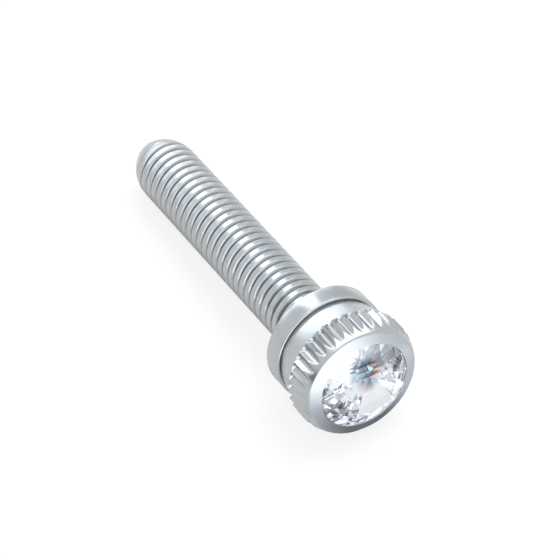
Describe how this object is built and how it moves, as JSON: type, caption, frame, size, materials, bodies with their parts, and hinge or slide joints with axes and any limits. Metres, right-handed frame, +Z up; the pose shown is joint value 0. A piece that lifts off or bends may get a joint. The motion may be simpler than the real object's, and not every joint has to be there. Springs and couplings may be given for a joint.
{
  "type": "crystal-headed thumb screw",
  "caption": "Plated thumb screw with a round collar, a relief groove and a flared, fluted head holding a round faceted glass stone.",
  "frame": {"origin": "centre of the bounding box's underside, on the surface that the screw lies on", "axes": "+X along the length, towards the stone; +Z up. The screw lies on its rim and tip, so its own axis leans 4.9 degrees from +X towards +Z"},
  "size_m": [0.0406, 0.0118, 0.0117],
  "materials": {
    "plated_steel": "bright nickel-chrome plate, lightly brushed",
    "cut_glass": "polished facets, silvered behind"
  },
  "bodies": {
    "root": {"screw_body": "plated_steel", "crystal": "cut_glass"}
  },
  "joints": []
}
